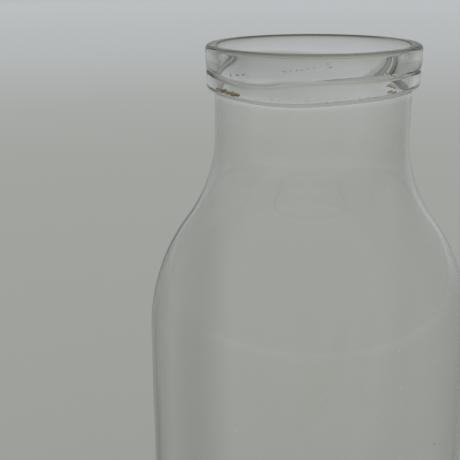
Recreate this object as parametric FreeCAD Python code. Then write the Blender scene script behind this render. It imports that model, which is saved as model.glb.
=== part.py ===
import FreeCAD, Part
import math
import os

# A clear, thin-walled glass bottle of about a litre, with a wide mouth. It is empty and open.
# The gaffer folded the lip over and tooled it into a collar of two bands. The crease between
# the bands sags on one side. Lengths are in millimetres and +Z is up. The origin is the centre
# of the ring that the bottle stands on.

# Driving dimensions: the whole
height = 225.0  # standing ring to the crest of the lip

# Body and base
body_radius = 45.9  # outside, just above the heel
body_taper = 0.7  # how much narrower the body is where the shoulder begins
body_wall = 1.0
heel_radius = 9.0  # outside curve from the body to the standing ring
ring_width = 3.0  # flat ring that touches the table
push_up = 4.0  # how far the middle of the base is pushed up
base_thickness = 4.0  # glass over the middle of the base
floor_rise = 2.0  # how much higher the middle of the inside floor is than its rim
inner_heel_radius = 8.0

# Neck and shoulder
neck_radius = 26.3  # outside
neck_wall = 1.0
neck_length = 23.35  # crest of the lip down to where the neck begins to flare
flare_radius = 41.8  # hollow curve under the neck, outside
shoulder_radius = 53.0  # round curve above the body, outside

# Collar
collar_stand_out = 2.35  # how far the collar stands out from the neck, under the lip
crease_inset = 0.2  # how much nearer the axis the bands are at the crease
lower_edge_inset = 0.55  # and where the lower band ends
collar_height = 11.7  # crest of the lip down to the collar's underside
band_bulge = 0.1  # how far each band swells between its edges
lower_edge_round = 1.1
underside_fillet = 0.5  # small hollow where the collar meets the neck
lip_inner_round = 1.7  # rounding from the bore up to the crest of the lip
crease_drop = 6.4  # crest of the lip down to the crease, where it runs level
crease_sag = 1.9  # how much lower the crease hangs at its lowest
crease_sag_bearing = 230.0  # degrees from +X towards +Y, where it hangs lowest
crease_sag_sharpness = 20  # the larger, the shorter the stretch that sags
crease_depth = 0.5
crease_half_width = 0.5  # at the collar's surface

# Sizes that follow
bore_radius = neck_radius - neck_wall
collar_radius = neck_radius + collar_stand_out
crest_radius = bore_radius + lip_inner_round
lip_outer_round = collar_radius - crest_radius
crease_radius = collar_radius - crease_inset
lower_edge_radius = collar_radius - lower_edge_inset
body_top_radius = body_radius - body_taper
standing_radius = body_radius - heel_radius
push_up_radius = standing_radius - ring_width

CREASE_POINTS = 48  # points that the crease's closed curve passes through
QUARTER = math.pi / 2.0
UP = FreeCAD.Vector(0, 0, 1)


def point(radius, z):
    """A point of the bottle's half section."""
    return FreeCAD.Vector(radius, 0, z)


def line(a, b):
    return Part.LineSegment(point(*a), point(*b)).toShape()


def arc(centre, radius, start, end):
    """A round stretch of the half section, with its angles from the radial direction."""

    def at(angle):
        return point(
            centre[0] + radius * math.cos(angle), centre[1] + radius * math.sin(angle)
        )

    return Part.Arc(at(start), at((start + end) / 2.0), at(end)).toShape()


def bulged(a, b, swell):
    """A shallow arc from a to b whose middle stands swell outside their chord."""
    middle = ((a[0] + b[0]) / 2.0 + swell, (a[1] + b[1]) / 2.0)
    return Part.Arc(point(*a), point(*middle), point(*b)).toShape()


def dome(rim, rise):
    """A shallow arc on the axis, from its top down to rim, a (radius, z) pair."""
    sphere = (rim[0] ** 2 + rise**2) / (2.0 * rise)
    centre = (0.0, rim[1] + rise - sphere)
    return arc(centre, sphere, QUARTER, QUARTER - math.asin(rim[0] / sphere))


def neck_to_body(narrow, wide, top, hollow, rounded):
    """The two tangent arcs from a body of radius wide up to a neck of radius narrow, that end
    at height top. Returns the edges from below, and the height where the body ends. The wall
    leans most where the arcs meet, and they turn through the same angle."""
    lean = math.acos(1.0 - (wide - narrow) / (hollow + rounded))
    body_top = top - (hollow + rounded) * math.sin(lean)
    shoulder = arc((wide - rounded, body_top), rounded, 0.0, lean)
    flare = arc((narrow + hollow, top), hollow, math.pi + lean, math.pi)
    return [shoulder, flare], body_top


def outside():
    """The outside of the glass, from the middle of the base to the crest of the lip."""
    curves, body_top = neck_to_body(
        neck_radius, body_top_radius, height - neck_length, flare_radius, shoulder_radius
    )
    heel_centre = (standing_radius, heel_radius)
    underside = height - collar_height
    fillet_centre = (neck_radius + underside_fillet, underside - underside_fillet)
    corner_centre = (lower_edge_radius - lower_edge_round, underside + lower_edge_round)
    crease = (crease_radius, height - crease_drop)
    lip_edge = (collar_radius, height - lip_outer_round)
    return [
        dome((push_up_radius, 0.0), push_up),
        line((push_up_radius, 0.0), (standing_radius, 0.0)),
        arc(heel_centre, heel_radius, -QUARTER, 0.0),
        line((body_radius, heel_radius), (body_top_radius, body_top)),
        *curves,
        line((neck_radius, height - neck_length), (neck_radius, fillet_centre[1])),
        arc(fillet_centre, underside_fillet, math.pi, QUARTER),
        line((fillet_centre[0], underside), (corner_centre[0], underside)),
        arc(corner_centre, lower_edge_round, -QUARTER, 0.0),
        bulged((lower_edge_radius, corner_centre[1]), crease, band_bulge),
        bulged(crease, lip_edge, band_bulge),
        arc((crest_radius, lip_edge[1]), lip_outer_round, 0.0, QUARTER),
    ]


def inside():
    """The inside of the glass, from the crest of the lip to the middle of the floor."""
    neck_end = height - neck_length
    curves, body_top = neck_to_body(
        bore_radius,
        body_top_radius - body_wall,
        neck_end,
        flare_radius + neck_wall,
        shoulder_radius - body_wall,
    )
    floor_rim_z = push_up + base_thickness - floor_rise
    heel_top = floor_rim_z + inner_heel_radius
    wall_base = body_radius - body_wall
    floor_rim = (wall_base - inner_heel_radius, floor_rim_z)
    lip_centre = (crest_radius, height - lip_inner_round)
    return [
        arc(lip_centre, lip_inner_round, QUARTER, math.pi),
        line((bore_radius, lip_centre[1]), (bore_radius, neck_end)),
        *reversed(curves),
        line((body_top_radius - body_wall, body_top), (wall_base, heel_top)),
        arc((floor_rim[0], heel_top), inner_heel_radius, 0.0, -QUARTER),
        dome(floor_rim, floor_rise),
    ]


def blown_glass():
    """The bottle as one turned solid, with its collar still plain."""
    axis = line((0.0, push_up + base_thickness), (0.0, push_up))
    edges = Part.sortEdges(outside() + inside() + [axis])[0]
    section = Part.Face(Part.Wire(edges))
    return section.revolve(point(0.0, 0.0), UP, 360)


def crease_height(bearing):
    """How high the crease runs at a bearing, in radians from +X."""
    offset = bearing - math.radians(crease_sag_bearing)
    nearness = ((1.0 + math.cos(offset)) / 2.0) ** crease_sag_sharpness
    return height - crease_drop - crease_sag * nearness


def crease_tool():
    """The wedge that the crease leaves, swept once round along its sagging line."""
    root = crease_radius - crease_depth
    rim = collar_radius + band_bulge + crease_depth
    points = []
    for i in range(CREASE_POINTS):
        bearing = 2.0 * math.pi * i / CREASE_POINTS
        x, y = root * math.cos(bearing), root * math.sin(bearing)
        points.append(FreeCAD.Vector(x, y, crease_height(bearing)))
    curve = Part.BSplineCurve()
    curve.interpolate(Points=points, PeriodicFlag=True)
    start = crease_height(0.0)
    slope = crease_half_width / crease_depth
    opening = (rim - root) * slope
    corners = [(root, start), (rim, start - opening), (rim, start + opening)]
    wedge = Part.makePolygon([point(*c) for c in corners + corners[:1]])
    sweep = Part.BRepOffsetAPI.MakePipeShell(Part.Wire(curve.toShape()))
    sweep.setBiNormalMode(UP)
    sweep.add(wedge)
    sweep.build()
    sweep.makeSolid()
    return sweep.shape()


def inside_volume():
    """What the bottle holds when full to the crest, in millilitres."""
    lid = line((crest_radius, height), (0.0, height))
    axis = line((0.0, height), (0.0, push_up + base_thickness))
    edges = Part.sortEdges(inside() + [lid, axis])[0]
    hollow = Part.Face(Part.Wire(edges)).revolve(point(0.0, 0.0), UP, 360)
    return abs(hollow.Volume) / 1000.0


def glass_bottle():
    bottle = blown_glass().cut(crease_tool())
    return bottle.removeSplitter()


def main():
    os.makedirs("parts", exist_ok=True)
    bottle = glass_bottle()
    bottle.exportStep("parts/glass_bottle.step")
    box = bottle.optimalBoundingBox()
    print("solids", len(bottle.Solids), "valid", bottle.isValid())
    print("size %.2f x %.2f x %.2f mm" % (box.XLength, box.YLength, box.ZLength))
    print("glass %.1f ml, holds %.0f ml" % (bottle.Volume / 1000.0, inside_volume()))


main()
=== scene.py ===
# %% [markdown]
# # A wide-mouthed bottle of clear glass
# The real bottle is blown from one gather of clear glass. The glassmaker folded the lip over
# and tooled it into a collar, so the collar is thick, the neck and body are thin, and nothing
# is quite even. We start with the packed model. It gives the frame that all places refer to.

# %% Load the model
import math
import random

import bmesh
import bpy
from mathutils import Matrix, Vector, noise


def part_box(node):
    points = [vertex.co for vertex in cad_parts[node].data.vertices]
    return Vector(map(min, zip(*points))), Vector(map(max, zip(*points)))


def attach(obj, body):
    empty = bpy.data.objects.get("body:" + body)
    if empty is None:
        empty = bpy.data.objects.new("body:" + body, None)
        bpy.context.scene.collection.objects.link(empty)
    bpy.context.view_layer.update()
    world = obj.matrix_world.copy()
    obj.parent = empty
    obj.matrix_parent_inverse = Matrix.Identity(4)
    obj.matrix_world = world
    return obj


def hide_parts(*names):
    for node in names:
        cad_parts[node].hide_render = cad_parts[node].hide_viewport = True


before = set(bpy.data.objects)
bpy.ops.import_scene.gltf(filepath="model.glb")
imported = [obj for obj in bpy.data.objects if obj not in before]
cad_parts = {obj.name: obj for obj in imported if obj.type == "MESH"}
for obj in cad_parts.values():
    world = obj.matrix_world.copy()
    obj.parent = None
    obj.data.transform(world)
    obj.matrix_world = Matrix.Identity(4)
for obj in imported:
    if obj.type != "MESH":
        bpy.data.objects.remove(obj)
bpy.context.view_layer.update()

LOW, HIGH = [Vector(corner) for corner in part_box("glass_bottle")]
print("bottle from", tuple(round(v, 4) for v in LOW), "to", tuple(round(v, 4) for v in HIGH))

# %% [markdown]
# ## Sizes
# Blender works in metres here. The height and the width come from the packed model. The other
# sizes are the glassmaker's, in millimetres, and MM turns them into metres where they are used.

# %% Sizes of the bottle
MM = 0.001
CREST = HIGH.z / MM  # crest of the lip
BODY = HIGH.x / MM  # radius just above the heel
BODY_TAPER = 0.7
BODY_WALL = 1.0
NECK = 26.3
NECK_WALL = 1.0
NECK_END = 23.35  # below the crest, where the neck begins to flare
FLARE = 41.8  # radius of the hollow curve under the neck
SHOULDER = 53.0  # radius of the round curve above the body
HEEL = 9.0
RING_ROUND = 1.5  # rounding of the standing ring's inner edge
RING_RIM = 0.45  # how high the push-up begins
PUSH_UP = 4.0
BASE_GLASS = 4.0
FLOOR_RISE = 2.0
INNER_HEEL = 8.0
print("crest at", round(CREST, 1), "mm, body", round(2 * BODY, 1), "mm wide")

# %% [markdown]
# ## The camera
# The camera stands close, a little above the mouth and to the left of the bottle, and looks
# down at the shoulders. It leans by less than half a degree. It comes first, so that all that
# follows can be looked at through it.

# %% Set up the camera
LENS_MM = 70.0
SENSOR_MM = 36.0
CAMERA_PLACE = Vector((-22.34, -240.39, CREST + 23.15)) * MM
CAMERA_PITCH = math.radians(17.28)  # looks down
CAMERA_ROLL = math.radians(-0.403)


def put_in_scene(name, data):
    """A new object that shows a mesh, a camera or a light."""
    item = bpy.data.objects.new(name, data)
    bpy.context.scene.collection.objects.link(item)
    return item


def add_camera():
    data = bpy.data.cameras.new("camera")
    data.lens = LENS_MM
    data.sensor_width = SENSOR_MM
    data.clip_start = 0.01
    data.clip_end = 200.0
    camera = put_in_scene("camera", data)
    turn = Matrix.Rotation(math.pi / 2 - CAMERA_PITCH, 4, "X")
    turn = turn @ Matrix.Rotation(CAMERA_ROLL, 4, "Z")
    camera.matrix_world = Matrix.Translation(CAMERA_PLACE) @ turn
    bpy.context.scene.camera = camera
    return camera


camera = add_camera()
print("camera at", tuple(round(v, 3) for v in camera.matrix_world.translation))

# %% [markdown]
# ## Half of the outline
# A turned shape is one outline, spun round the axis. The outline here is made of straight
# lines and arcs, each with only as many points as its curve needs. Each point also carries
# four numbers. They say how far the crease is cut in there, how much the point follows the
# wandering crease and the wandering lower edge of the collar, and whether it is on the inside.

# %% Draw lines and arcs
def stretch(start, end, steps):
    """Points of a straight line, without its first."""
    return [
        tuple(a + (b - a) * i / steps for a, b in zip(start, end)) for i in range(1, steps + 1)
    ]


def bend(centre, radius, start, end, steps):
    """Points of an arc, without its first. Angles are in degrees from the radial direction."""
    points = []
    for i in range(1, steps + 1):
        angle = math.radians(start + (end - start) * i / steps)
        points.append((centre[0] + radius * math.cos(angle), centre[1] + radius * math.sin(angle)))
    return points


def dome(rim, rise, steps):
    """Points of a shallow arc from the axis down to rim."""
    sphere = (rim[0] ** 2 + rise**2) / (2 * rise)
    reach = math.degrees(math.asin(rim[0] / sphere))
    return bend((0.0, rim[1] + rise - sphere), sphere, 90.0, 90.0 - reach, steps)


def neck_to_body(narrow, wide, top, hollow, rounded, steps):
    """Points of the shoulder and the flare, from the body up to the neck."""
    lean = math.acos(1 - (wide - narrow) / (hollow + rounded))
    body_top = top - (hollow + rounded) * math.sin(lean)
    lean = math.degrees(lean)
    shoulder = bend((wide - rounded, body_top), rounded, 0.0, lean, steps)
    flare = bend((narrow + hollow, top), hollow, 180.0 + lean, 180.0, steps)
    return [(wide, body_top)] + shoulder + flare


quarter = bend((0.0, 0.0), 1.0, 0.0, 90.0, 2)
print("a quarter turn in two steps:", [tuple(round(v, 2) for v in point) for point in quarter])

# %% [markdown]
# The collar carries the look of the whole bottle. From below, its outline runs out from the
# neck, round a small corner, up the lower band, over the crease, up the fuller upper band and
# over the rounded lip into the bore.

# %% Draw the collar
COLLAR_DROP = 11.7  # crest of the lip down to the underside
CREASE_DROP = 6.4
UNDERSIDE = CREST - COLLAR_DROP
CREASE = CREST - CREASE_DROP
CREASE_DEPTH = 0.5
CREASE_HALF = 0.5  # half its width
UPPER_BAND = 28.6  # radius at the top of the upper band
BAND_SWELL = 0.16  # how far the upper band bows out between its edges
LOWER_SWELL = 0.05  # the same for the lower band
COLLAR = 28.36  # radius of the bands beside the crease
LOWER_EDGE = 28.3  # radius where the lower band ends
EDGE_ROUND = 1.0  # rounding of the lower edge
FILLET = 0.8  # hollow between the neck and the underside
BORE = NECK - NECK_WALL
LIP_OUT = 1.1  # rounding of the lip's outer edge
LIP_IN = 1.0  # rounding of its inner edge
BORE_FINE_END = 11.0  # below the crest, where the bore's points begin to stand wider apart


def swelling(start, end, swell, steps):
    """Points of a shallow outward bow from start to end, without its first."""
    points = []
    for i in range(1, steps + 1):
        t = i / steps
        x, z = (a + (b - a) * t for a, b in zip(start, end))
        points.append((x + swell * 4 * t * (1 - t), z))
    return points


def collar_outline():
    """Points from the neck under the collar to the crest of the lip."""
    corner = (LOWER_EDGE - EDGE_ROUND, UNDERSIDE + EDGE_ROUND)
    fillet = (NECK + FILLET, UNDERSIDE - FILLET)
    below = (COLLAR, CREASE - CREASE_HALF)
    above = (COLLAR, CREASE + CREASE_HALF)
    points = [(NECK, fillet[1])]
    points += bend(fillet, FILLET, 180.0, 90.0, 4)
    points += bend(corner, EDGE_ROUND, -90.0, 5.0, 7)
    points += swelling(points[-1], below, LOWER_SWELL, 9)
    points += stretch(below, above, 9)
    lip_side = (UPPER_BAND, CREST - LIP_OUT)
    points += swelling(above, lip_side, BAND_SWELL, 12)
    points += bend((UPPER_BAND - LIP_OUT, lip_side[1]), LIP_OUT, 0.0, 90.0, 8)
    return points


print(len(collar_outline()), "points round the collar")

# %% [markdown]
# The outside runs from the middle of the pushed-up base round the heel, up the body and the
# shoulder to the collar. The inside comes back down the bore to the floor. Both ends lie on
# the axis, so the turned glass will be closed. Points stand close together where it bends.

# %% Put the whole outline together
def outer_outline():
    ring = BODY - HEEL - RING_ROUND
    points = [(0.0, PUSH_UP)]
    points += dome((ring - RING_ROUND, RING_RIM), PUSH_UP - RING_RIM, 18)
    points += bend((ring, RING_ROUND), RING_ROUND, 215.0, 270.0, 4)
    points += bend((BODY - HEEL, HEEL), HEEL, -90.0, 0.0, 14)
    curve = neck_to_body(NECK, BODY - BODY_TAPER, CREST - NECK_END, FLARE, SHOULDER, 17)
    points += stretch(points[-1], curve[0], 26) + curve[1:]
    collar = collar_outline()
    return points + stretch(points[-1], collar[0], 8) + collar[1:]


def inner_outline():
    wide = BODY - BODY_WALL
    floor_rim = (wide - INNER_HEEL, PUSH_UP + BASE_GLASS - FLOOR_RISE)
    curve = neck_to_body(
        BORE, wide - BODY_TAPER, CREST - NECK_END, FLARE + NECK_WALL, SHOULDER - BODY_WALL, 17
    )[::-1]
    points = stretch(outer_outline()[-1], (BORE + LIP_IN, CREST), 8)
    points += bend((BORE + LIP_IN, CREST - LIP_IN), LIP_IN, 90.0, 180.0, 9)
    points += stretch((BORE, CREST - LIP_IN), (BORE, CREST - BORE_FINE_END), 14)
    points += stretch(points[-1], curve[0], 8) + curve[1:]
    heel_top = floor_rim[1] + INNER_HEEL
    points += stretch(points[-1], (wide, heel_top), 26)
    points += bend((floor_rim[0], heel_top), INNER_HEEL, 0.0, -90.0, 12)
    return points + dome(floor_rim, FLOOR_RISE, 14)[-2::-1] + [(0.0, floor_rim[1] + FLOOR_RISE)]


outer, inner = outer_outline(), inner_outline()
print(len(outer), "outer points and", len(inner), "inner points")

# %% [markdown]
# The crease and the lower edge wander up and down, so a point near them has to move with them.
# A point's share of each wander fades out with its distance, which keeps the lip level.

# %% Store the outline as a mesh of one line
def share(value, start, full, end):
    """Rises from 0 at start to 1 at full, and falls back to 0 at end."""
    if value <= start or value >= end:
        return 0.0
    part = (value - start) / (full - start) if value < full else (end - value) / (end - full)
    return part * part * (3 - 2 * part)


LIP_LEVEL = 1.0  # this far below the crest, the crease's wander has faded out
EDGE_REACH = 4.0  # and this far below the underside, the lower edge's


def outline_mesh():
    points = outer + inner
    mesh = bpy.data.meshes.new("outline")
    edges = [(i, i + 1) for i in range(len(points) - 1)]
    mesh.from_pydata([(r * MM, 0.0, z * MM) for r, z in points], edges, [])
    numbers = {"crease_cut": [], "with_crease": [], "with_edge": [], "inside": []}
    for i, (r, z) in enumerate(points):
        on_collar = i < len(outer) and z > UNDERSIDE - EDGE_REACH
        cut = max(0.0, 1 - abs(z - CREASE) / CREASE_HALF) if on_collar else 0.0
        numbers["crease_cut"].append(CREASE_DEPTH * cut**0.8 * MM)
        crease = share(z, UNDERSIDE, CREASE, CREST - LIP_LEVEL)
        numbers["with_crease"].append(crease if on_collar else 0.0)
        edge = share(z, UNDERSIDE - EDGE_REACH, UNDERSIDE + 0.2, CREASE)
        numbers["with_edge"].append(edge if on_collar else 0.0)
        numbers["inside"].append(float(i >= len(outer)))
    for name, values in numbers.items():
        mesh.attributes.new(name, "FLOAT", "POINT").data.foreach_set("value", values)
    return mesh


outline = put_in_scene("outline", outline_mesh())
print("outline of", len(outline.data.vertices), "points")

# %% [markdown]
# ## A helper for node trees
# A formula made of nodes is easier to read when each node is one call. This helper adds a
# node, joins or sets its inputs and returns it. Its shorter methods return an output at once.
# It serves both the shapes and the finishes of this bottle.

# %% Make node trees readable
class Graph:
    def __init__(self, tree):
        self.tree = tree

    def feed(self, socket, value):
        if isinstance(value, bpy.types.NodeSocket):
            self.tree.links.new(value, socket)
        else:
            socket.default_value = value

    def add(self, kind, inputs=None, **settings):
        node = self.tree.nodes.new(kind)
        for name, value in settings.items():
            setattr(node, name, value)
        for key, value in (inputs or {}).items():
            self.feed(node.inputs[key], value)
        return node

    def out(self, kind, inputs=None, **settings):
        """The first output of a new node."""
        return self.add(kind, inputs, **settings).outputs[0]

    def math(self, operation, *values):
        node = self.add("ShaderNodeMath", operation=operation)
        for socket, value in zip(node.inputs, values):
            self.feed(socket, value)
        return node.outputs[0]

    def total(self, values):
        result = values[0]
        for value in values[1:]:
            result = self.math("ADD", result, value)
        return result

    def split(self, vector):
        return self.add("ShaderNodeSeparateXYZ", {"Vector": vector}).outputs

    def join(self, x, y=0.0, z=0.0):
        return self.out("ShaderNodeCombineXYZ", {"X": x, "Y": y, "Z": z})

    def vector(self, operation, first, second):
        key = "Scale" if operation == "SCALE" else 1
        return self.out("ShaderNodeVectorMath", {0: first, key: second}, operation=operation)

    def noise(self, place, scale, detail, **more):
        inputs = {"Vector": place, "Scale": scale, "Detail": detail, **more}
        return self.add("ShaderNodeTexNoise", inputs).outputs


print("Graph can", ", ".join(name for name in vars(Graph) if name[0] != "_"))

# %% [markdown]
# A tree that serves as a tool has named sockets at both ends, so its user sees what it takes
# and what it gives. A Geometry Nodes modifier stores its inputs under each socket's identifier
# and not under its name, so a second helper looks the identifier up.

# %% Make groups with named sockets
def new_group(name, kind, inputs, outputs):
    """A node group with named sockets. Each input is (name, type) or (name, type, default)."""
    tree = bpy.data.node_groups.new(name, kind)
    for entry in inputs:
        socket = tree.interface.new_socket(entry[0], in_out="INPUT", socket_type=entry[1])
        if len(entry) > 2:
            socket.default_value = entry[2]
    for entry in outputs:
        tree.interface.new_socket(entry[0], in_out="OUTPUT", socket_type=entry[1])
    graph = Graph(tree)
    return graph, graph.add("NodeGroupInput").outputs, graph.add("NodeGroupOutput").inputs


def set_input(modifier, name, value):
    """Sets a Geometry Nodes modifier's input by its socket's identifier."""
    for item in modifier.node_group.interface.items_tree:
        if item.item_type == "SOCKET" and item.in_out == "INPUT" and item.name == name:
            modifier[item.identifier] = value
            return
    raise KeyError(name)


print("helpers:", new_group.__name__, "and", set_input.__name__)

# %% [markdown]
# ## Wander
# A hand-tooled collar isn't level. Its crease hangs low on one side and its lower edge dips in
# front and climbs to the right. Each such place is a smooth swelling round one bearing, so a
# wander is a short list of them: how far it lifts, at which bearing and how sharply.

# %% Add up smooth swellings round the bottle
CREASE_WANDER = ((-1.9, 231.0, 20.0), (0.25, 325.0, 24.0), (-0.5, 70.0, 12.0), (0.3, 130.0, 10.0))
EDGE_WANDER = ((-0.75, 250.0, 16.0), (0.85, 335.0, 6.0), (-0.3, 40.0, 10.0), (0.3, 150.0, 8.0))
CREASE_FADE = ((0.8, 264.0, 7.0),)  # where the fold has almost closed, in front


def swellings(graph, bearing, places, scale):
    """A socket that adds up lift * ((1 + cos(bearing - centre)) / 2) ** sharpness."""
    terms = []
    for lift, centre, sharpness in places:
        offset = graph.math("SUBTRACT", bearing, math.radians(centre))
        near = graph.math("MULTIPLY_ADD", graph.math("COSINE", offset), 0.5, 0.5)
        terms.append(graph.math("MULTIPLY", graph.math("POWER", near, sharpness), lift * scale))
    return graph.total(terms)


lowest = min(CREASE_WANDER)
print("the crease hangs", -lowest[0], "mm low at", lowest[1], "degrees")

# %% [markdown]
# ## The lathe
# The lathe is a Geometry Nodes tree. It lays out a flat grid with a row for each point of the
# outline and a column for each step round the axis. So the first thing it needs to know is
# where each vertex of the grid belongs: at which bearing, and at which point of the outline.

# %% Read the outline from a flat grid
AROUND = 320  # steps round the axis


def flat_grid(graph, outline, around):
    """The grid, and for each of its vertices the bearing and the number of its point."""
    count = graph.add("GeometryNodeAttributeDomainSize", {"Geometry": outline})
    count = count.outputs["Point Count"]
    columns = graph.math("ADD", around, 1.0)
    grid = graph.add(
        "GeometryNodeMeshGrid",
        {"Size X": 1.0, "Size Y": 1.0, "Vertices X": columns, "Vertices Y": count},
    ).outputs["Mesh"]
    apart = graph.split(graph.out("GeometryNodeInputPosition"))
    bearing = graph.math("MULTIPLY", graph.math("ADD", apart["X"], 0.5), 2 * math.pi)
    last = graph.math("SUBTRACT", count, 1.0)
    index = graph.math("ROUND", graph.math("MULTIPLY", graph.math("ADD", apart["Y"], 0.5), last))
    return grid, bearing, index


def from_outline(graph, outline, index, kind, value):
    """Reads a value at the outline's point of that number."""
    node = graph.add("GeometryNodeSampleIndex", data_type=kind, domain="POINT")
    graph.feed(node.inputs["Geometry"], outline)
    graph.feed(node.inputs["Value"], value)
    graph.feed(node.inputs["Index"], index)
    return node.outputs["Value"]


print("one step round the widest part is", round(2 * math.pi * BODY / AROUND, 2), "mm long")

# %% [markdown]
# Blown glass is never quite even. Slow swells make the wall thicker here and thinner there, and
# drawing the glass down leaves faint upright ripples, many round and few up and down. The
# inside reads other noise than the outside, so the wall's thickness varies. Nothing moves on
# the axis or at the standing ring, so the poles stay shut and the base stays flat.

# %% Make the wall uneven
UNEVEN = 0.10 * MM
UNEVEN_SCALE = 28.0
RIPPLE = 0.03 * MM
RIPPLE_SCALE = 9.0
RIPPLE_RISE = 2.0  # the smaller, the longer the ripples
INSIDE_SHIFT = 3.0  # how far apart the two sides of the wall read their noise, in metres
RIPPLE_SHIFT = 7.0
AXIS_STILL = 25.0 * MM  # nearer the axis than this, the wall moves less
FLOOR_STILL = 16.7 * MM  # and so it does nearer the table


def unevenness(graph, given, place, bearing, point, inside):
    """How far a vertex moves away from the axis."""
    shift = graph.join(graph.math("MULTIPLY", inside, INSIDE_SHIFT))
    slow = graph.noise(graph.vector("ADD", place, shift), UNEVEN_SCALE, 1.0)[0]
    other_side = graph.math("MULTIPLY", inside, RIPPLE_SHIFT)
    height = graph.math("MULTIPLY_ADD", point["Z"], RIPPLE_RISE, other_side)
    upright = graph.join(graph.math("COSINE", bearing), graph.math("SINE", bearing), height)
    quick = graph.noise(upright, RIPPLE_SCALE, 2.0)[0]
    swell = graph.math("MULTIPLY", graph.math("SUBTRACT", slow, 0.5), given["Unevenness"])
    ripple = graph.math("MULTIPLY", graph.math("SUBTRACT", quick, 0.5), given["Ripple"])
    off_axis = graph.math("MINIMUM", graph.math("DIVIDE", point["X"], AXIS_STILL), 1.0)
    off_floor = graph.math("MINIMUM", graph.math("DIVIDE", point["Z"], FLOOR_STILL), 1.0)
    free = graph.math("MULTIPLY", off_axis, off_floor)
    return graph.math("MULTIPLY", graph.math("ADD", swell, ripple), free)


print("the wall swells by up to", round(UNEVEN / 2 / MM, 3), "mm either way")

# %% [markdown]
# Now the lathe itself. It takes each vertex of the grid round the axis to its place on the
# outline, cuts the crease, adds the wanders and the unevenness, and merges the grid's ends,
# which closes the seam and the poles. It is a tree, so one changed number turns a new bottle.

# %% Build the lathe
MERGE = 0.002 * MM  # vertices nearer to each other than this become one


def build_lathe():
    graph, given, result = new_group(
        "lathe", "GeometryNodeTree",
        [("Outline", "NodeSocketGeometry"), ("Around", "NodeSocketInt", AROUND),
         ("Unevenness", "NodeSocketFloat", UNEVEN), ("Ripple", "NodeSocketFloat", RIPPLE),
         ("Material", "NodeSocketMaterial")],
        [("Glass", "NodeSocketGeometry")],
    )
    outline_in = given["Outline"]
    grid, bearing, index = flat_grid(graph, outline_in, given["Around"])

    def number(name):
        named = graph.add("GeometryNodeInputNamedAttribute", {"Name": name}, data_type="FLOAT")
        return from_outline(graph, outline_in, index, "FLOAT", named.outputs["Attribute"])

    place = graph.out("GeometryNodeInputPosition")
    point = graph.split(from_outline(graph, outline_in, index, "FLOAT_VECTOR", place))
    fade = graph.math("SUBTRACT", 1.0, swellings(graph, bearing, CREASE_FADE, 1.0))
    radius = graph.math("SUBTRACT", point["X"], graph.math("MULTIPLY", number("crease_cut"), fade))
    crease = graph.math(
        "MULTIPLY", number("with_crease"), swellings(graph, bearing, CREASE_WANDER, MM)
    )
    edge = graph.math("MULTIPLY", number("with_edge"), swellings(graph, bearing, EDGE_WANDER, MM))
    cosine, sine = graph.math("COSINE", bearing), graph.math("SINE", bearing)
    turned = graph.join(
        graph.math("MULTIPLY", radius, cosine),
        graph.math("MULTIPLY", radius, sine),
        graph.total([point["Z"], crease, edge]),
    )
    swell = unevenness(graph, given, turned, bearing, point, number("inside"))
    moved = graph.vector("SCALE", graph.join(cosine, sine), swell)
    final = graph.vector("ADD", turned, moved)
    shape = graph.out("GeometryNodeSetPosition", {"Geometry": grid, "Position": final})
    shape = graph.out("GeometryNodeMergeByDistance", {"Geometry": shape, "Distance": MERGE})
    shape = graph.out("GeometryNodeSetShadeSmooth", {"Geometry": shape})
    shape = graph.out("GeometryNodeRealizeInstances", {"Geometry": shape})
    finish = {"Geometry": shape, "Material": given["Material"]}
    graph.feed(result["Glass"], graph.out("GeometryNodeSetMaterial", finish))
    return graph.tree


lathe = build_lathe()
print("lathe of", len(lathe.nodes), "nodes")

# %% [markdown]
# ## Marks of wiping
# Glass that has been handled isn't equally clean all over. Dried drips and wiped fingermarks
# leave faint patches that scatter a little light. The patches are longer up and down than
# round, because water runs down. This is a node group, so that more than one finish can use it.

# %% Build the wiping marks
PATCH_SCALE, PATCH_COVER = 60.0, 0.35
PATCH_SQUEEZE = (1.0, 1.0, 0.45)  # longer up and down
PATCH_SOFTNESS = 0.18
FINE_SCALE = 900.0


def build_wipe_marks():
    graph, given, result = new_group(
        "wipe_marks", "ShaderNodeTree",
        [("Vector", "NodeSocketVector"), ("Scale", "NodeSocketFloat", PATCH_SCALE),
         ("Cover", "NodeSocketFloat", PATCH_COVER)],
        [("Film", "NodeSocketFloat"), ("Fine", "NodeSocketFloat")],
    )
    squeezed = graph.vector("MULTIPLY", given["Vector"], PATCH_SQUEEZE)
    broad = graph.noise(squeezed, given["Scale"], 3.0, Distortion=0.6)[0]
    fine = graph.noise(given["Vector"], FINE_SCALE, 2.0)[0]
    # A patch begins where the noise passes a level, which is lower the more they cover.
    level = graph.math("MULTIPLY_ADD", given["Cover"], -0.5, 0.75)
    full = graph.math("ADD", level, PATCH_SOFTNESS)
    limits = {"Value": broad, "From Min": level, "From Max": full}
    film = graph.out("ShaderNodeMapRange", limits, interpolation_type="SMOOTHSTEP")
    graph.feed(result["Film"], film)
    graph.feed(result["Fine"], fine)
    return graph.tree


wipe_marks = build_wipe_marks()
print("wiping marks of", len(wipe_marks.nodes), "nodes")
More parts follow.
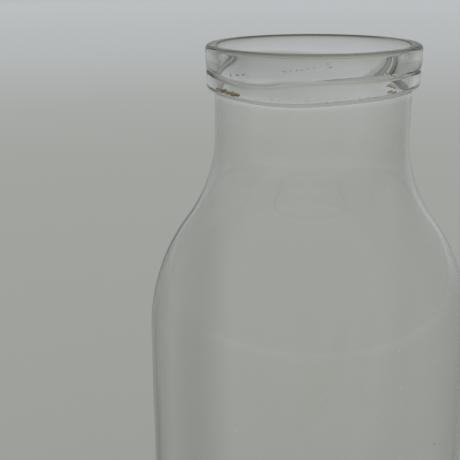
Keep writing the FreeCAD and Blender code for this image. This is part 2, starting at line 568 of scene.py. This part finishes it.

# %% [markdown]
# ## Painted shade on the collar, the lip and the sides
# Three masks paint shade into the colour of the glass. The first darkens the collar: the upper
# band all round, and both bands most on the left of the front. The second paints the crest of
# the lip nearly black, for the light that is lost down the wall there. It is strongest at the
# back, weaker in front and gone at the ends. The third paints a fainter shade down the left and
# right sides of the body and the neck, more on the left. All three are read from the place on
# the glass, so they stay put when the bottle is turned.

# %% Build the painted shade masks
COLLAR_SHADE_UPPER = (CREASE - 1.5, CREASE + 1.0)  # heights between which the upper band's painted shade begins
COLLAR_SHADE_BANDS = (UNDERSIDE - 1.0, UNDERSIDE + 1.0)  # and that of both bands
COLLAR_SHADE_FRONT = (-8.0, -20.0)  # Y
COLLAR_SHADE_LEFT = (14.0, -18.0)  # X
CREST_SHADE_HEIGHTS = (CREST - 0.8, CREST - 0.2)
CREST_SHADE_SIDES = (2.0, 20.0)  # Y, to the front as to the back
SIDE_SHADE_HEEL = (15.0, 40.0)  # heights between which the painted side shade begins
SIDE_SHADE_TOP = (UNDERSIDE, UNDERSIDE - 1.0)  # where it ends
SIDE_SHADE_NECK = (175.0, 190.0)  # and where the neck's share of it begins
SIDE_SHADE_LEFT, SIDE_SHADE_EDGE = (-21.0, -30.0), (-44.0, -31.0)  # X on the body
SIDE_SHADE_RIGHT = (30.0, 36.0)
NECK_LEFT, NECK_RIGHT = (-18.5, -24.0), (18.0, 23.0)  # X on the neck


def build_painted_shade_marks():
    graph, given, result = new_group(
        "painted_shade_marks", "ShaderNodeTree",
        [("Vector", "NodeSocketVector")],
        [("Collar Shade", "NodeSocketFloat"), ("Crest Shade", "NodeSocketFloat"),
         ("Side Shade", "NodeSocketFloat")],
    )
    apart = graph.split(given["Vector"])

    def rise(value, span, low=0.0, high=1.0):
        """Goes from low to high while value goes along span, in millimetres."""
        limits = {
            "Value": value, "From Min": span[0] * MM, "From Max": span[1] * MM,
            "To Min": low, "To Max": high,
        }
        return graph.out("ShaderNodeMapRange", limits, interpolation_type="SMOOTHSTEP")

    def both(first, second):
        return graph.math("MULTIPLY", first, second)

    def either(first, second):
        return graph.math("MAXIMUM", first, second)

    # Painted shade on the collar: the upper band all round, both bands most on the left front.
    upper = rise(apart["Z"], COLLAR_SHADE_UPPER)
    near = both(rise(apart["Y"], COLLAR_SHADE_FRONT), rise(apart["X"], COLLAR_SHADE_LEFT, 0.3))
    bands = graph.math("ADD", both(rise(apart["Z"], COLLAR_SHADE_BANDS), 0.55), both(upper, 0.45))
    front_shade = both(both(near, bands), 0.75)
    graph.feed(result["Collar Shade"], graph.math("MULTIPLY_ADD", upper, 0.25, front_shade))
    # Painted shade: the lip's crest nearly black, most at the back, none at the ends.
    sides = rise(graph.math("ABSOLUTE", apart["Y"]), CREST_SHADE_SIDES)
    far_to_near = rise(apart["Y"], (20.0, -20.0), 1.0, 0.6)
    graph.feed(result["Crest Shade"], both(rise(apart["Z"], CREST_SHADE_HEIGHTS), both(sides, far_to_near)))
    # Painted shade down the left and right sides of the body and the neck.
    neck = rise(apart["Z"], SIDE_SHADE_NECK)
    below = both(rise(apart["Z"], SIDE_SHADE_HEEL), rise(apart["Z"], SIDE_SHADE_TOP))
    left = both(rise(apart["X"], SIDE_SHADE_LEFT), rise(apart["X"], SIDE_SHADE_EDGE, 0.3, 1.0))
    left = either(left, both(neck, rise(apart["X"], NECK_LEFT, 0.0, 0.6)))
    right = rise(apart["X"], SIDE_SHADE_RIGHT, 0.0, 0.4)
    right = either(right, both(neck, rise(apart["X"], NECK_RIGHT, 0.0, 0.9)))
    graph.feed(result["Side Shade"], both(either(left, right), below))
    return graph.tree


painted_shade_marks = build_painted_shade_marks()
print("painted shade masks of", len(painted_shade_marks.nodes), "nodes")

# %% [markdown]
# ## Clear glass
# Glass is mostly what it bends and mirrors, so its material is short: full transmission, no
# metal and an index of refraction of 1.5. It is a very pale grey-green, as bottle glass is.
# The wiping marks tint it and make it a trace duller. Painted shade darkens its colour on the
# collar's bands, on the crest of the lip and down the sides.

# %% Make the glass
CLEAN = (0.995, 0.998, 0.994, 1.0)
FILMED = (0.975, 0.975, 0.96, 1.0)
# Tones of painted shade: on the collar's bands, on the crest of the lip and down the sides.
COLLAR_SHADE_TONE = (0.74, 0.74, 0.72, 1.0)
CREST_SHADE_TONE = (0.06, 0.057, 0.05, 1.0)
SIDE_SHADE_TONE = (0.925, 0.925, 0.92, 1.0)


def new_material(name):
    """A material with its node tree and its main shader."""
    material = bpy.data.materials.new(name)
    material.use_nodes = True
    return material, Graph(material.node_tree), material.node_tree.nodes["Principled BSDF"]


def build_glass_material():
    material, graph, shader = new_material("clear_glass")
    place = graph.add("ShaderNodeTexCoord").outputs["Object"]
    wiped = graph.add("ShaderNodeGroup", {"Vector": place}, node_tree=wipe_marks).outputs
    painted_shades = graph.add("ShaderNodeGroup", {"Vector": place}, node_tree=painted_shade_marks).outputs

    def tint(mask, under, over):
        mix = graph.add("ShaderNodeMix", {0: mask, 6: under, 7: over}, data_type="RGBA")
        return mix.outputs[2]

    colour = tint(wiped["Film"], CLEAN, FILMED)
    # Painted shade on the sides, the collar's bands and the crest darkens the wiped colour.
    colour = tint(painted_shades["Side Shade"], colour, SIDE_SHADE_TONE)
    colour = tint(painted_shades["Collar Shade"], colour, COLLAR_SHADE_TONE)
    graph.feed(shader.inputs["Base Color"], tint(painted_shades["Crest Shade"], colour, CREST_SHADE_TONE))
    grain = graph.math("MULTIPLY_ADD", wiped["Fine"], 0.05, 0.005)
    graph.feed(shader.inputs["Roughness"], graph.math("MULTIPLY", wiped["Film"], grain))
    shader.inputs["IOR"].default_value = 1.5
    shader.inputs["Transmission Weight"].default_value = 1.0
    return material


clear_glass = build_glass_material()
print("glass of", len(clear_glass.node_tree.nodes), "nodes")

# %% [markdown]
# ## Turn the glass
# The lathe is now run on the outline, and its result is kept as a plain mesh. A plain mesh
# needs no modifier any more, so the seeds can be added to it and marks can find its surface.

# %% Turn the glass
def modified_mesh(source, name):
    """What the modifiers of source make of it, as a plain mesh."""
    bpy.context.view_layer.update()
    depsgraph = bpy.context.evaluated_depsgraph_get()
    mesh = bpy.data.meshes.new_from_object(source.evaluated_get(depsgraph))
    mesh.name = name
    return mesh


def as_plain_mesh(source, name, tree, inputs):
    """Runs a Geometry Nodes tree on source and returns its result as an object of its own."""
    modifier = source.modifiers.new("nodes", "NODES")
    modifier.node_group = tree
    for key, value in inputs.items():
        set_input(modifier, key, value)
    mesh = modified_mesh(source, name)
    source.modifiers.remove(modifier)
    return put_in_scene(name, mesh)


bottle = as_plain_mesh(outline, "bottle_glass", lathe, {"Material": clear_glass})
bpy.data.objects.remove(outline)
work = bmesh.new()
work.from_mesh(bottle.data)
if work.calc_volume(signed=True) < 0:
    bmesh.ops.reverse_faces(work, faces=work.faces)
    work.to_mesh(bottle.data)
print(len(work.faces), "faces,", round(abs(work.calc_volume()) * 1e6, 1), "millilitres of glass")
work.free()

# %% [markdown]
# ## A way to find the surface
# Marks sit on the glass, and the glass wanders. So a mark is given by its bearing and by its
# drop below the lip, and a ray shot inwards from outside finds the glass there.

# %% Find a place on the outside of the glass
bpy.context.view_layer.update()
OUTSIDE = 70.0 * MM  # a distance from the axis that lies clear of the glass


def on_glass(bearing, drop):
    """The place on the glass at a bearing in degrees and a drop in millimetres."""
    angle = math.radians(bearing)
    outward = Vector((math.cos(angle), math.sin(angle), 0.0))
    height = Vector((0.0, 0.0, (CREST - drop) * MM))
    place = bottle.ray_cast(height + outward * OUTSIDE, -outward)[1]
    return place, outward


print("front of the collar at", tuple(round(v, 4) for v in on_glass(-90.0, 4.0)[0]))

# %% [markdown]
# ## Seeds in the glass
# A glassmaker calls a small bubble a seed. Folding the lip trapped some of them in the collar,
# and tooling drew them out lengthwise. A seed is a hole in the glass, so its faces point to
# its middle and it belongs to the glass's own mesh. Each is one instance on a point.

# %% Build the tree that sets seeds
LUMP_SCALE = 1800.0


def build_setter(name, flip):
    """A tree that puts a small ball on each point, turned and stretched by its attributes."""
    graph, given, result = new_group(
        name, "GeometryNodeTree",
        [("Points", "NodeSocketGeometry"), ("Fineness", "NodeSocketInt", 3),
         ("Roughness", "NodeSocketFloat", 0.0), ("Material", "NodeSocketMaterial")],
        [("Geometry", "NodeSocketGeometry")],
    )

    def stored(name):
        kind = "GeometryNodeInputNamedAttribute"
        return graph.add(kind, {"Name": name}, data_type="FLOAT_VECTOR").outputs["Attribute"]

    ball = graph.out(
        "GeometryNodeMeshIcoSphere", {"Radius": 1.0, "Subdivisions": given["Fineness"]}
    )
    turn = graph.out("FunctionNodeEulerToRotation", {0: stored("turn")})
    placed = graph.out(
        "GeometryNodeInstanceOnPoints",
        {"Points": given["Points"], "Instance": ball, "Rotation": turn,
         "Scale": stored("stretch")},
    )
    shape = graph.out("GeometryNodeRealizeInstances", {"Geometry": placed})
    place = graph.out("GeometryNodeInputPosition")
    push = graph.vector("SUBTRACT", graph.noise(place, LUMP_SCALE, 1.0)[1], (0.5, 0.5, 0.5))
    push = graph.vector("SCALE", push, given["Roughness"])
    shape = graph.out("GeometryNodeSetPosition", {"Geometry": shape, "Offset": push})
    if flip:
        shape = graph.out("GeometryNodeFlipFaces", {"Mesh": shape})
    shape = graph.out("GeometryNodeSetShadeSmooth", {"Geometry": shape})
    finish = {"Geometry": shape, "Material": given["Material"]}
    graph.feed(result["Geometry"], graph.out("GeometryNodeSetMaterial", finish))
    return graph.tree


seed_setter = build_setter("seed_setter", True)
grain_setter = build_setter("grain_setter", False)
print("each setter has", len(seed_setter.nodes) - 1, "or", len(seed_setter.nodes), "nodes")

# %% [markdown]
# A mark has a place, a turn and a size. They are stored on the points that the tree reads. The
# long side of a mark lies along the glass and may slope, and its thin side faces outwards.

# %% Put marks on points
def scatter(name, marks, tree, inputs):
    """Makes one piece of many small balls. A mark is (bearing, drop, depth below the surface,
    half length, half height, half thickness, slope), in degrees and millimetres."""
    mesh = bpy.data.meshes.new(name + "_points")
    places, turns, stretches = [], [], []
    for bearing, drop, depth, long, tall, thick, slope in marks:
        place, outward = on_glass(bearing, drop)
        places.append(place - outward * depth * MM)
        tangent = outward.cross(Vector((0.0, 0.0, 1.0)))
        frame_of_mark = Matrix((-tangent, outward, Vector((0.0, 0.0, 1.0)))).transposed()
        frame_of_mark = frame_of_mark @ Matrix.Rotation(math.radians(-slope), 3, "Y")
        turns.extend(frame_of_mark.to_euler())
        stretches.extend((long * MM, thick * MM, tall * MM))
    mesh.from_pydata(places, [], [])
    mesh.attributes.new("turn", "FLOAT_VECTOR", "POINT").data.foreach_set("vector", turns)
    mesh.attributes.new("stretch", "FLOAT_VECTOR", "POINT").data.foreach_set("vector", stretches)
    source = put_in_scene(name + "_points", mesh)
    piece = as_plain_mesh(source, name, tree, inputs)
    bpy.data.objects.remove(source)
    return piece


print("a mark is read from", scatter.__name__, "as seven numbers")

# %% [markdown]
# The large seeds stand where they do on the real collar: a row of drawn-out ones low on the
# left of the upper band, two in its front, and a slanting group on the right, just above the
# crease. The small ones are strewn at random, more in the collar than in the body's wall.

# %% Set the seeds
SEEDS = (
    (-140.6, 6.0, 0.5, 0.16, 0.45, 0.12, 8.0),
    (-135.6, 5.75, 0.5, 0.55, 0.14, 0.12, 3.0),
    (-131.6, 5.5, 0.5, 0.50, 0.15, 0.12, 6.0),
    (-108.8, 4.0, 0.4, 0.35, 0.17, 0.15, 4.0),
    (-100.5, 3.6, 0.5, 0.30, 0.11, 0.10, 8.0),
    (-57.0, 4.95, 0.3, 0.60, 0.16, 0.16, -22.0),
    (-54.0, 5.4, 0.3, 0.75, 0.22, 0.18, -26.0),
    (-50.5, 5.95, 0.3, 0.70, 0.14, 0.14, -24.0),
)


def small_seeds(count, drops, depth, size, chance):
    """Seeds strewn round the bottle between two drops."""
    marks = []
    for _ in range(count):
        bulk = size * chance.uniform(0.6, 1.3)
        marks.append((
            chance.uniform(0.0, 360.0), chance.uniform(*drops), chance.uniform(*depth),
            bulk * chance.uniform(1.0, 2.6), bulk, bulk, chance.uniform(-12.0, 12.0),
        ))
    return marks


chance = random.Random(11)
seed_marks = list(SEEDS)
seed_marks += small_seeds(26, (2.0, 10.0), (0.5, 1.8), 0.09, chance)
seed_marks += small_seeds(18, (30.0, 200.0), (0.5, 1.1), 0.12, chance)
seeds = scatter(
    "seeds", seed_marks, seed_setter, {"Fineness": 2, "Material": clear_glass}
)
work = bmesh.new()
work.from_mesh(bottle.data)
work.from_mesh(seeds.data)
work.to_mesh(bottle.data)
work.free()
bpy.data.objects.remove(seeds)
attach(bottle, "root")
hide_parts("glass_bottle")
print(len(seed_marks), "seeds, and the glass now has", len(bottle.data.polygons), "faces")

# %% [markdown]
# ## Tones
# Paints are easiest to choose as levels from 0 to 255, but a shader wants linear light. One
# helper turns the first into the second, and another makes a ramp from one tone to the next.

# %% Choose tones
def tone_ramp(graph, value, stops):
    ramp = graph.add("ShaderNodeValToRGB", {0: value})
    elements = ramp.color_ramp.elements
    while len(elements) < len(stops):
        elements.new(0.5)
    for element, (position, color) in zip(elements, stops):
        element.position = position
        element.color = color
    return ramp.outputs[0]


def srgb(r, g, b):
    """Linear colour of three levels from 0 to 255."""
    def level(v):
        v /= 255.0
        return v / 12.92 if v <= 0.04045 else ((v + 0.055) / 1.055) ** 2.4
    return (level(r), level(g), level(b), 1.0)


print("a middle grey of 128 is", round(srgb(128, 128, 128)[0], 3), "in linear light")

# %% [markdown]
# ## Dried residue
# Milk or syrup that ran down the collar dried there. An ochre crust sits under the lower band
# on the left, a pale olive streak crosses the front of the upper band, and a small brown patch
# is on the right. Such a crust is thin, lumpy and matt, and its colour follows its thickness.

# %% Make the crust's finish
CRUMB_SCALE = 700.0
CRUMB_HEIGHT = 0.1 * MM


def build_crust_material(name, thin, thick):
    material, graph, shader = new_material(name)
    place = graph.add("ShaderNodeTexCoord").outputs["Object"]
    lumps = graph.noise(place, CRUMB_SCALE, 4.0)[0]
    tone = tone_ramp(graph, lumps, ((0.38, thick), (0.62, thin)))
    graph.feed(shader.inputs["Base Color"], tone)
    graph.feed(shader.inputs["Roughness"], graph.math("MULTIPLY_ADD", lumps, 0.3, 0.45))
    relief = {"Height": lumps, "Strength": 0.5, "Distance": CRUMB_HEIGHT}
    graph.feed(shader.inputs["Normal"], graph.out("ShaderNodeBump", relief))
    shader.inputs["Specular IOR Level"].default_value = 0.3
    return material


ochre_crust = build_crust_material("ochre_crust", srgb(150, 139, 104), srgb(108, 98, 58))
red_crust = build_crust_material("red_crust", srgb(170, 165, 154), srgb(138, 130, 118))
olive_crust = build_crust_material("olive_crust", srgb(206, 206, 184), srgb(150, 150, 120))
print("three crusts, each of", len(ochre_crust.node_tree.nodes), "nodes")

# %% [markdown]
# A crust follows the glass under it. So each lump is a ball pressed flat: a point of the ball
# is laid at its bearing and drop on the glass, and only its third measure stands off the glass.
# A fine voxel remesh then fuses the chain of lumps into one closed shell with soft joins.

# %% Fuse lumps into a crust
VOXEL = 0.09 * MM
LUMPINESS = 0.35


def lay_crust(name, lumps, material, seed):
    """One shell of lumps. A lump is (bearing, drop, half length, half height, thickness,
    slope), in degrees and millimetres."""
    chance = random.Random(seed)
    mesh = bpy.data.meshes.new(name + "_lumps")
    work = bmesh.new()
    for bearing, drop, long, tall, thick, slope in lumps:
        made = bmesh.ops.create_icosphere(work, subdivisions=3, radius=1.0)
        phase = Vector([chance.uniform(-9.0, 9.0) for _ in range(3)])
        slant = Matrix.Rotation(math.radians(slope), 2)
        for vertex in made["verts"]:
            ball = vertex.co.copy()
            ball *= 1.0 + LUMPINESS * noise.noise(ball * 1.6 + phase)
            u, v = slant @ Vector((ball.x * long, ball.z * tall))
            place, outward = on_glass(bearing + math.degrees(u / COLLAR), drop - v)
            vertex.co = place + outward * (ball.y * thick) * MM
    work.to_mesh(mesh)
    work.free()
    mesh.materials.append(material)
    piece = put_in_scene(name, mesh)
    fuse = piece.modifiers.new("fuse", "REMESH")
    fuse.mode = "VOXEL"
    fuse.voxel_size = VOXEL
    fuse.use_smooth_shade = True
    fused = modified_mesh(piece, name)
    piece.modifiers.clear()
    piece.data = fused
    bpy.data.meshes.remove(mesh)
    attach(piece, "root")
    return piece


print("lumps are fused at", round(VOXEL / MM, 2), "mm")

# %% [markdown]
# Each list of lumps runs from left to right. The ochre crust is the thickest. The olive streak
# is a chain of small lumps that climbs to the right, as a wiped drip does. The brown patch lies
# across the right end of the lower band, in two short strokes, one below the other.

# %% Lay the crusts on the collar
OCHRE_LUMPS = (
    (-152.0, 10.1, 1.6, 0.30, 0.12, -2.0),
    (-148.0, 10.2, 1.5, 0.50, 0.18, -3.0),
    (-145.0, 9.85, 0.5, 0.34, 0.14, 20.0),
    (-143.5, 10.35, 1.3, 0.62, 0.22, -5.0),
    (-139.5, 10.5, 1.4, 0.60, 0.22, -5.0),
    (-135.8, 10.6, 1.0, 0.50, 0.18, -4.0),
)
RED_LUMPS = (
    (-54.5, 8.0, 0.9, 0.45, 0.10, 6.0),
    (-52.0, 8.4, 1.0, 0.42, 0.10, -4.0),
    (-50.0, 8.9, 0.6, 0.30, 0.08, 4.0),
    (-53.5, 9.6, 1.0, 0.40, 0.10, 10.0),
    (-50.5, 9.9, 1.0, 0.36, 0.10, 12.0),
)
OLIVE_LUMPS = (
    (-113.5, 4.05, 0.45, 0.10, 0.05, 2.0),
    (-111.0, 4.00, 0.40, 0.13, 0.05, 4.0),
    (-108.6, 4.00, 0.35, 0.24, 0.07, 6.0),
    (-105.5, 3.85, 0.50, 0.12, 0.05, 8.0),
    (-102.8, 3.70, 0.35, 0.18, 0.06, 4.0),
    (-100.0, 3.60, 0.45, 0.12, 0.05, 8.0),
    (-97.5, 3.30, 0.55, 0.12, 0.05, 16.0),
    (-94.5, 2.95, 0.60, 0.15, 0.06, 16.0),
    (-91.5, 2.55, 0.55, 0.12, 0.05, 16.0),
    (-88.6, 2.20, 0.45, 0.14, 0.05, 16.0),
    (-87.0, 2.90, 0.50, 0.20, 0.06, 12.0),
)
crusts = [
    lay_crust("ochre_residue", OCHRE_LUMPS, ochre_crust, 3),
    lay_crust("olive_residue", OLIVE_LUMPS, olive_crust, 7),
    lay_crust("red_residue", RED_LUMPS, red_crust, 5),
]
for crust in crusts:
    print(crust.name, "has", len(crust.data.polygons), "faces")

# %% [markdown]
# ## Grit
# A few grains stick along the collar's lower edge and on the body. They repeat, so the same
# kind of tree as for the seeds puts one rough ball on each point.

# %% Strew the grit
EDGE_GRIT = (
    -124.0, -121.0, -118.0, -115.0, -112.0, -108.5, -106.0, -104.0, -101.0, -97.5, -95.0, -91.0,
    -88.0, -85.0, -83.0, -80.0, -76.0, -73.0, -70.5, -67.0, -63.0,
)  # bearings along the collar's lower edge
BODY_GRIT = (
    (-65.0, 60.1), (-47.0, 64.0), (-91.0, 80.9), (-65.0, 70.6), (-64.0, 80.2), (-64.0, 84.9),
)
chance = random.Random(23)
grit_marks = [
    (bearing + chance.uniform(-1.3, 1.3), chance.uniform(10.3, 11.4), 0.0,
     chance.uniform(0.15, 0.6), chance.uniform(0.08, 0.2), 0.06, chance.uniform(-20.0, 20.0))
    for bearing in EDGE_GRIT
]
grit_marks += [
    (bearing, drop, 0.0, chance.uniform(0.14, 0.34), chance.uniform(0.1, 0.18), 0.09, 0.0)
    for bearing, drop in BODY_GRIT
]
for _ in range(14):
    bulk = chance.uniform(0.08, 0.18)
    spread = (chance.uniform(0.0, 360.0), chance.uniform(3.0, 150.0))
    grit_marks.append(spread + (0.0, bulk * 1.4, bulk, 0.07, 0.0))
grit_finish = build_crust_material("grit", srgb(216, 214, 204), srgb(184, 181, 168))
grit = scatter(
    "grit", grit_marks, grain_setter,
    {"Fineness": 2, "Roughness": 0.12 * MM, "Material": grit_finish},
)
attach(grit, "root")
print(len(grit_marks), "grains")

# %% [markdown]
# ## The stage
# Clear glass shows mostly its surroundings, so a plain stage matters more than any finish. A
# room isn't equally bright all round. Light that the glass has mirrored inside itself meets
# a little less of it towards the sides, and that draws soft upright stripes in the neck and
# body. The darker bearings are kept in a group that the floor and the world share.

# %% Darken the room's sides
ROOM_SIDES = (
    (-180.0, 0.0), (-112.0, 0.0), (-95.0, 0.45), (-84.0, 0.45), (-70.0, 0.25), (-58.0, 0.35),
    (-48.0, 0.4), (-30.0, 0.15), (-8.0, 0.0), (28.0, 0.0), (42.0, 0.0), (58.0, 0.3),
    (78.0, 0.3), (100.0, 0.0), (180.0, 0.0),
)


def build_room_sides():
    """A group that says how dark the room is towards a bearing. Bearing 0 is straight back."""
    graph, given, result = new_group(
        "room_sides", "ShaderNodeTree", [("Vector", "NodeSocketVector")],
        [("Dark", "NodeSocketFloat")],
    )
    apart = graph.split(given["Vector"])
    bearing = graph.math("ARCTAN2", apart["X"], apart["Y"])
    part = graph.math("MULTIPLY_ADD", bearing, 1 / (2 * math.pi), 0.5)
    stops = [((degrees + 180.0) / 360.0, (dark,) * 3 + (1.0,)) for degrees, dark in ROOM_SIDES]
    graph.feed(result["Dark"], tone_ramp(graph, part, stops))
    return graph.tree


room_sides = build_room_sides()


def darken_sides(graph, tone, vector, amount):
    """The tone, darker to the sides for what the glass has mirrored inside itself."""
    path = graph.add("ShaderNodeLightPath").outputs
    mirrored = graph.math("GREATER_THAN", path["Glossy Depth"], 0.5)
    dark = graph.add("ShaderNodeGroup", {"Vector": vector}, node_tree=room_sides).outputs["Dark"]
    dark = graph.math("MULTIPLY", graph.math("MULTIPLY", dark, amount), mirrored)
    return graph.vector("SCALE", tone, graph.math("SUBTRACT", 1.0, dark))


print("the room's sides are up to", max(dark for _, dark in ROOM_SIDES), "darker")

# %% [markdown]
# ## The floor
# The bottle stands on a wide, plain, pale floor. Its colour grows a little lighter and cooler
# with distance, painted light as on a table towards a window. A ray that has met the glass more
# than four times has too few bounces left to be lit, so for such a ray the floor glows with its
# own tone, painted light in place of lamplight.

# %% Lay the floor
FLOOR_TONES = (
    (0.14, srgb(158, 160, 155)),
    (0.5, srgb(161, 163, 158)),
    (0.9, srgb(162, 165, 160)),
    (1.3, srgb(168, 170, 167)),
    (2.1, srgb(180, 183, 184)),
    (4.5, srgb(189, 192, 194)),
    (7.0, srgb(168, 170, 168)),
)  # distance in metres, tone
NEAREST, FARTHEST = 0.1, 10.0
FLOOR_RADIUS = 60.0
DEEPEST_LIT = 4.5  # past this ray depth nothing is lit any more


def build_floor():
    mesh = bpy.data.meshes.new("floor")
    work = bmesh.new()
    bmesh.ops.create_circle(work, cap_ends=True, segments=96, radius=FLOOR_RADIUS)
    work.to_mesh(mesh)
    work.free()
    floor = put_in_scene("floor", mesh)
    material, graph, shader = new_material("floor")
    place = graph.add("ShaderNodeTexCoord").outputs["Object"]
    distance = graph.add("ShaderNodeVectorMath", {0: place}, operation="LENGTH").outputs["Value"]
    reach = graph.math("LOGARITHM", graph.math("MAXIMUM", distance, NEAREST), 10.0)
    span = math.log10(FARTHEST / NEAREST)
    reach = graph.math("MULTIPLY_ADD", reach, 1 / span, -math.log10(NEAREST) / span)
    # Painted light: the floor's colour lighter and cooler with distance, as towards a window.
    stops = [(math.log10(d / NEAREST) / span, color) for d, color in FLOOR_TONES]
    tone = tone_ramp(graph, reach, stops)
    tone = darken_sides(graph, tone, place, 1.0)
    # Painted light: past DEEPEST_LIT the floor glows with its own tone instead of being lit.
    path = graph.add("ShaderNodeLightPath").outputs
    deep = graph.math("GREATER_THAN", path["Ray Depth"], DEEPEST_LIT)
    lit = graph.vector("SCALE", tone, graph.math("SUBTRACT", 1.0, deep))
    graph.feed(shader.inputs["Base Color"], lit)
    graph.feed(shader.inputs["Emission Color"], tone)
    graph.feed(shader.inputs["Emission Strength"], deep)
    shader.inputs["Roughness"].default_value = 0.9
    shader.inputs["Specular IOR Level"].default_value = 0.0
    mesh.materials.append(material)
    return floor


floor = build_floor()
print("floor of", round(2 * FLOOR_RADIUS), "m")

# %% [markdown]
# ## The light
# Most of the light is an even sky, which gives soft light without a lamp that the glass would
# mirror. A quarter of it comes from one wide window above, behind the camera. It only gives
# the floor a soft shadow of the bottle, and the glass doesn't mirror it.

# %% Light the stage
SKY_TONES = (
    (0.0, srgb(166, 168, 165)), (0.1, srgb(161, 163, 160)), (0.3, srgb(162, 164, 160)),
    (0.6, srgb(160, 161, 157)), (1.0, srgb(140, 141, 137)),
)  # from the horizon up
SKY_SIDES = 0.4  # how much of the room's darker sides the sky shows
SUN_SHARE = 0.25
SUN_STRENGTH = 0.89  # makes up for its share on a level floor
SUN_TOWARD = Vector((0.08, 0.42, -1.0))
SUN_WIDTH = math.radians(28.0)


def build_world():
    world = bpy.data.worlds.new("studio")
    bpy.context.scene.world = world
    world.use_nodes = True
    graph = Graph(world.node_tree)
    background = world.node_tree.nodes["Background"]
    path = graph.add("ShaderNodeLightPath").outputs
    direction = graph.add("ShaderNodeTexCoord").outputs["Generated"]
    tone = tone_ramp(graph, graph.split(direction)["Z"], SKY_TONES)
    tone = darken_sides(graph, tone, direction, SKY_SIDES)
    lit = graph.math("GREATER_THAN", path["Diffuse Depth"], 0.5)
    seen = graph.add("ShaderNodeMix", data_type="RGBA")
    graph.feed(seen.inputs[0], lit)
    graph.feed(seen.inputs[6], tone)
    graph.feed(seen.inputs[7], (1.0 - SUN_SHARE,) * 3 + (1.0,))
    graph.feed(background.inputs["Color"], seen.outputs[2])
    return world


def add_sun():
    data = bpy.data.lights.new("window", "SUN")
    data.energy = SUN_STRENGTH
    data.angle = SUN_WIDTH
    sun = put_in_scene("window", data)
    sun.visible_glossy = False
    sun.visible_transmission = False
    sun.matrix_world = SUN_TOWARD.to_track_quat("-Z", "Y").to_matrix().to_4x4()
    return sun


world = build_world()
sun = add_sun()
bpy.context.scene.view_settings.view_transform = "Standard"
print("the sun gives", SUN_SHARE, "of the light and the sky the rest")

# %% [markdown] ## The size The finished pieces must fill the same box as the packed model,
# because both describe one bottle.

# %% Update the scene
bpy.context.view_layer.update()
